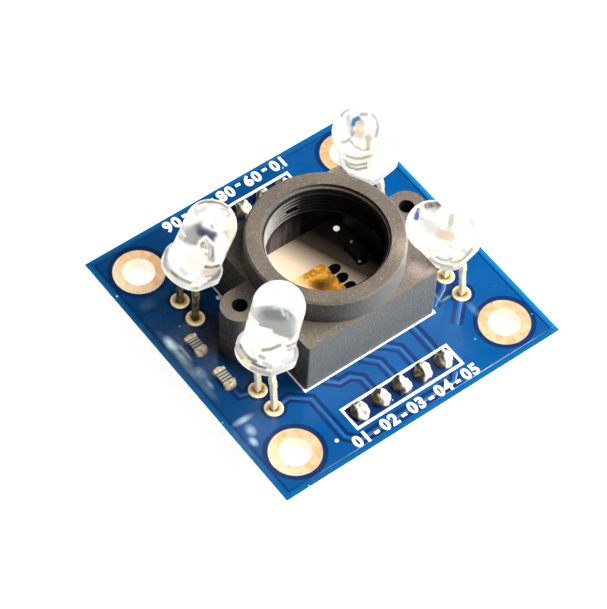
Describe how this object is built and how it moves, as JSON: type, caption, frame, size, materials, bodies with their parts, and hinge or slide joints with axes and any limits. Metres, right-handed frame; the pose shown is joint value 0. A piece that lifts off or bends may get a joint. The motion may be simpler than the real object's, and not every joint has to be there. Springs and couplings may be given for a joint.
{
  "type": "color sensor module",
  "caption": "Square color sensor board with a light sensor under a screw-thread lens holder, leaning clear lamps around it and pin headers beneath.",
  "frame": {"origin": "middle of the four mounting holes, on the board's underside", "axes": "+Z out of the board towards the target that the sensor looks at, +X along the header rows, +Y across them"},
  "size_m": [0.033, 0.033, 0.0229],
  "materials": {
    "board_blue": "glossy blue solder mask over copper on a glass-fibre laminate",
    "pad_metal": "thin gold-toned plating over copper, mottled",
    "holder_black": "fine matte moulded plastic, warm black",
    "screw_steel": "zinc-plated steel",
    "package_clear": "clear moulded epoxy",
    "leadframe_metal": "plated copper leadframe",
    "die_silicon": "polished silicon",
    "solder": "bright tin solder, uneven",
    "resistor_black": "ceramic slab with a black glass face",
    "capacitor_ceramic": "brown ceramic",
    "terminal_tin": "tinned end caps",
    "lamp_epoxy": "water-clear cast epoxy",
    "lamp_lead": "tinned steel, satin",
    "phosphor": "yellow phosphor in clear resin",
    "lamp_die": "clear crystal chip",
    "header_plastic": "black moulded insulator",
    "pin_metal": "gold-plated brass"
  },
  "bodies": {
    "root": {"circuit_board": "board_blue", "mounting_hole_linings": "pad_metal", "lamp_pads": "pad_metal", "lens_holder": "holder_black", "holder_screws": "screw_steel", "sensor_package": "package_clear", "sensor_leads": "leadframe_metal", "sensor_paddle": "leadframe_metal", "sensor_die": "die_silicon", "sensor_solder": "solder", "chip_part_solder": "solder", "lamp_solder": "solder", "header_solder_front": "solder", "header_solder_back": "solder", "lamp_resistor_back": "resistor_black", "lamp_resistor_front": "resistor_black", "supply_capacitor": "capacitor_ceramic", "lamp_resistor_back_terminals": "terminal_tin", "lamp_resistor_front_terminals": "terminal_tin", "supply_capacitor_terminals": "terminal_tin", "lamp_front_left_lens": "lamp_epoxy", "lamp_front_left_cathode": "lamp_lead", "lamp_front_left_anode": "lamp_lead", "lamp_front_left_phosphor": "phosphor", "lamp_front_left_die": "lamp_die", "lamp_back_left_lens": "lamp_epoxy", "lamp_back_left_cathode": "lamp_lead", "lamp_back_left_anode": "lamp_lead", "lamp_back_left_phosphor": "phosphor", "lamp_back_left_die": "lamp_die", "lamp_front_right_lens": "lamp_epoxy", "lamp_front_right_cathode": "lamp_lead", "lamp_front_right_anode": "lamp_lead", "lamp_front_right_phosphor": "phosphor", "lamp_front_right_die": "lamp_die", "lamp_back_right_lens": "lamp_epoxy", "lamp_back_right_cathode": "lamp_lead", "lamp_back_right_anode": "lamp_lead", "lamp_back_right_phosphor": "phosphor", "lamp_back_right_die": "lamp_die", "header_strip_front": "header_plastic", "header_strip_back": "header_plastic", "header_pins_front": "pin_metal", "header_pins_back": "pin_metal"}
  },
  "joints": []
}
